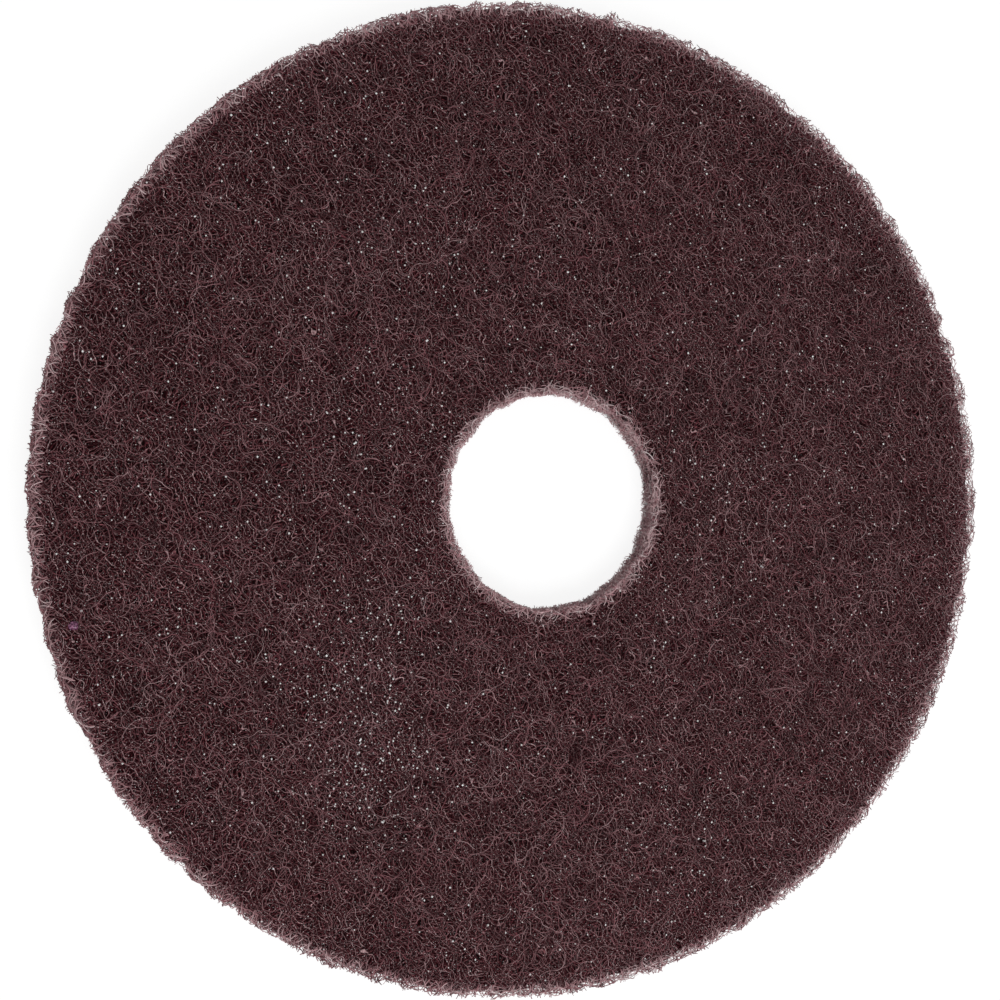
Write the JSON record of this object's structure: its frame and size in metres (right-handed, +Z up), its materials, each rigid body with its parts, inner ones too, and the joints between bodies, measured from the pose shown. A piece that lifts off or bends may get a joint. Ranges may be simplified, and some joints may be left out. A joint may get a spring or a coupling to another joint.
{
  "type": "floor polishing pad",
  "caption": "Round non-woven fibre pad with a centre hole, laid flat, for a rotary floor machine.",
  "frame": {"origin": "centre of the disc, on the plane of its underside", "axes": "+Z up along the disc's axis, from the underside to the upper face; +X and +Y lie in the disc, which looks the same round its axis"},
  "size_m": [0.407, 0.4067, 0.013],
  "materials": {
    "maroon_web": "open tangle of matte crimped fibres, resin bonded, dusty maroon"
  },
  "bodies": {
    "root": {"pad": "maroon_web"}
  },
  "joints": []
}
